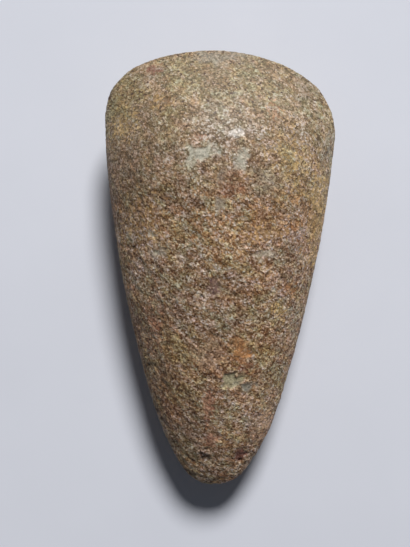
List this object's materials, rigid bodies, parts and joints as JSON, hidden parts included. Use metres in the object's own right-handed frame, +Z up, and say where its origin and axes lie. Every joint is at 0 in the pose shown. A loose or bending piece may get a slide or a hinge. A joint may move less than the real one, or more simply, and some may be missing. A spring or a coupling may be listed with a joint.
{
  "type": "polished stone axe head",
  "caption": "Unhafted polished stone axe head: a long teardrop with a rounded butt and a broad curved cutting edge, lying on its belly.",
  "frame": {"origin": "under the middle of the bounding box, on the surface that the axe head lies on", "axes": "+Y along the head from the butt to the cutting edge, +X to the right seen from above with the edge pointing away, +Z up through the upper face"},
  "size_m": [0.068, 0.13, 0.0361],
  "materials": {
    "ground_stone": "medium-grained speckled stone, ground smooth and satin at the blade, pecked and rougher at the butt"
  },
  "bodies": {
    "root": {"axe_head": "ground_stone"}
  },
  "joints": []
}
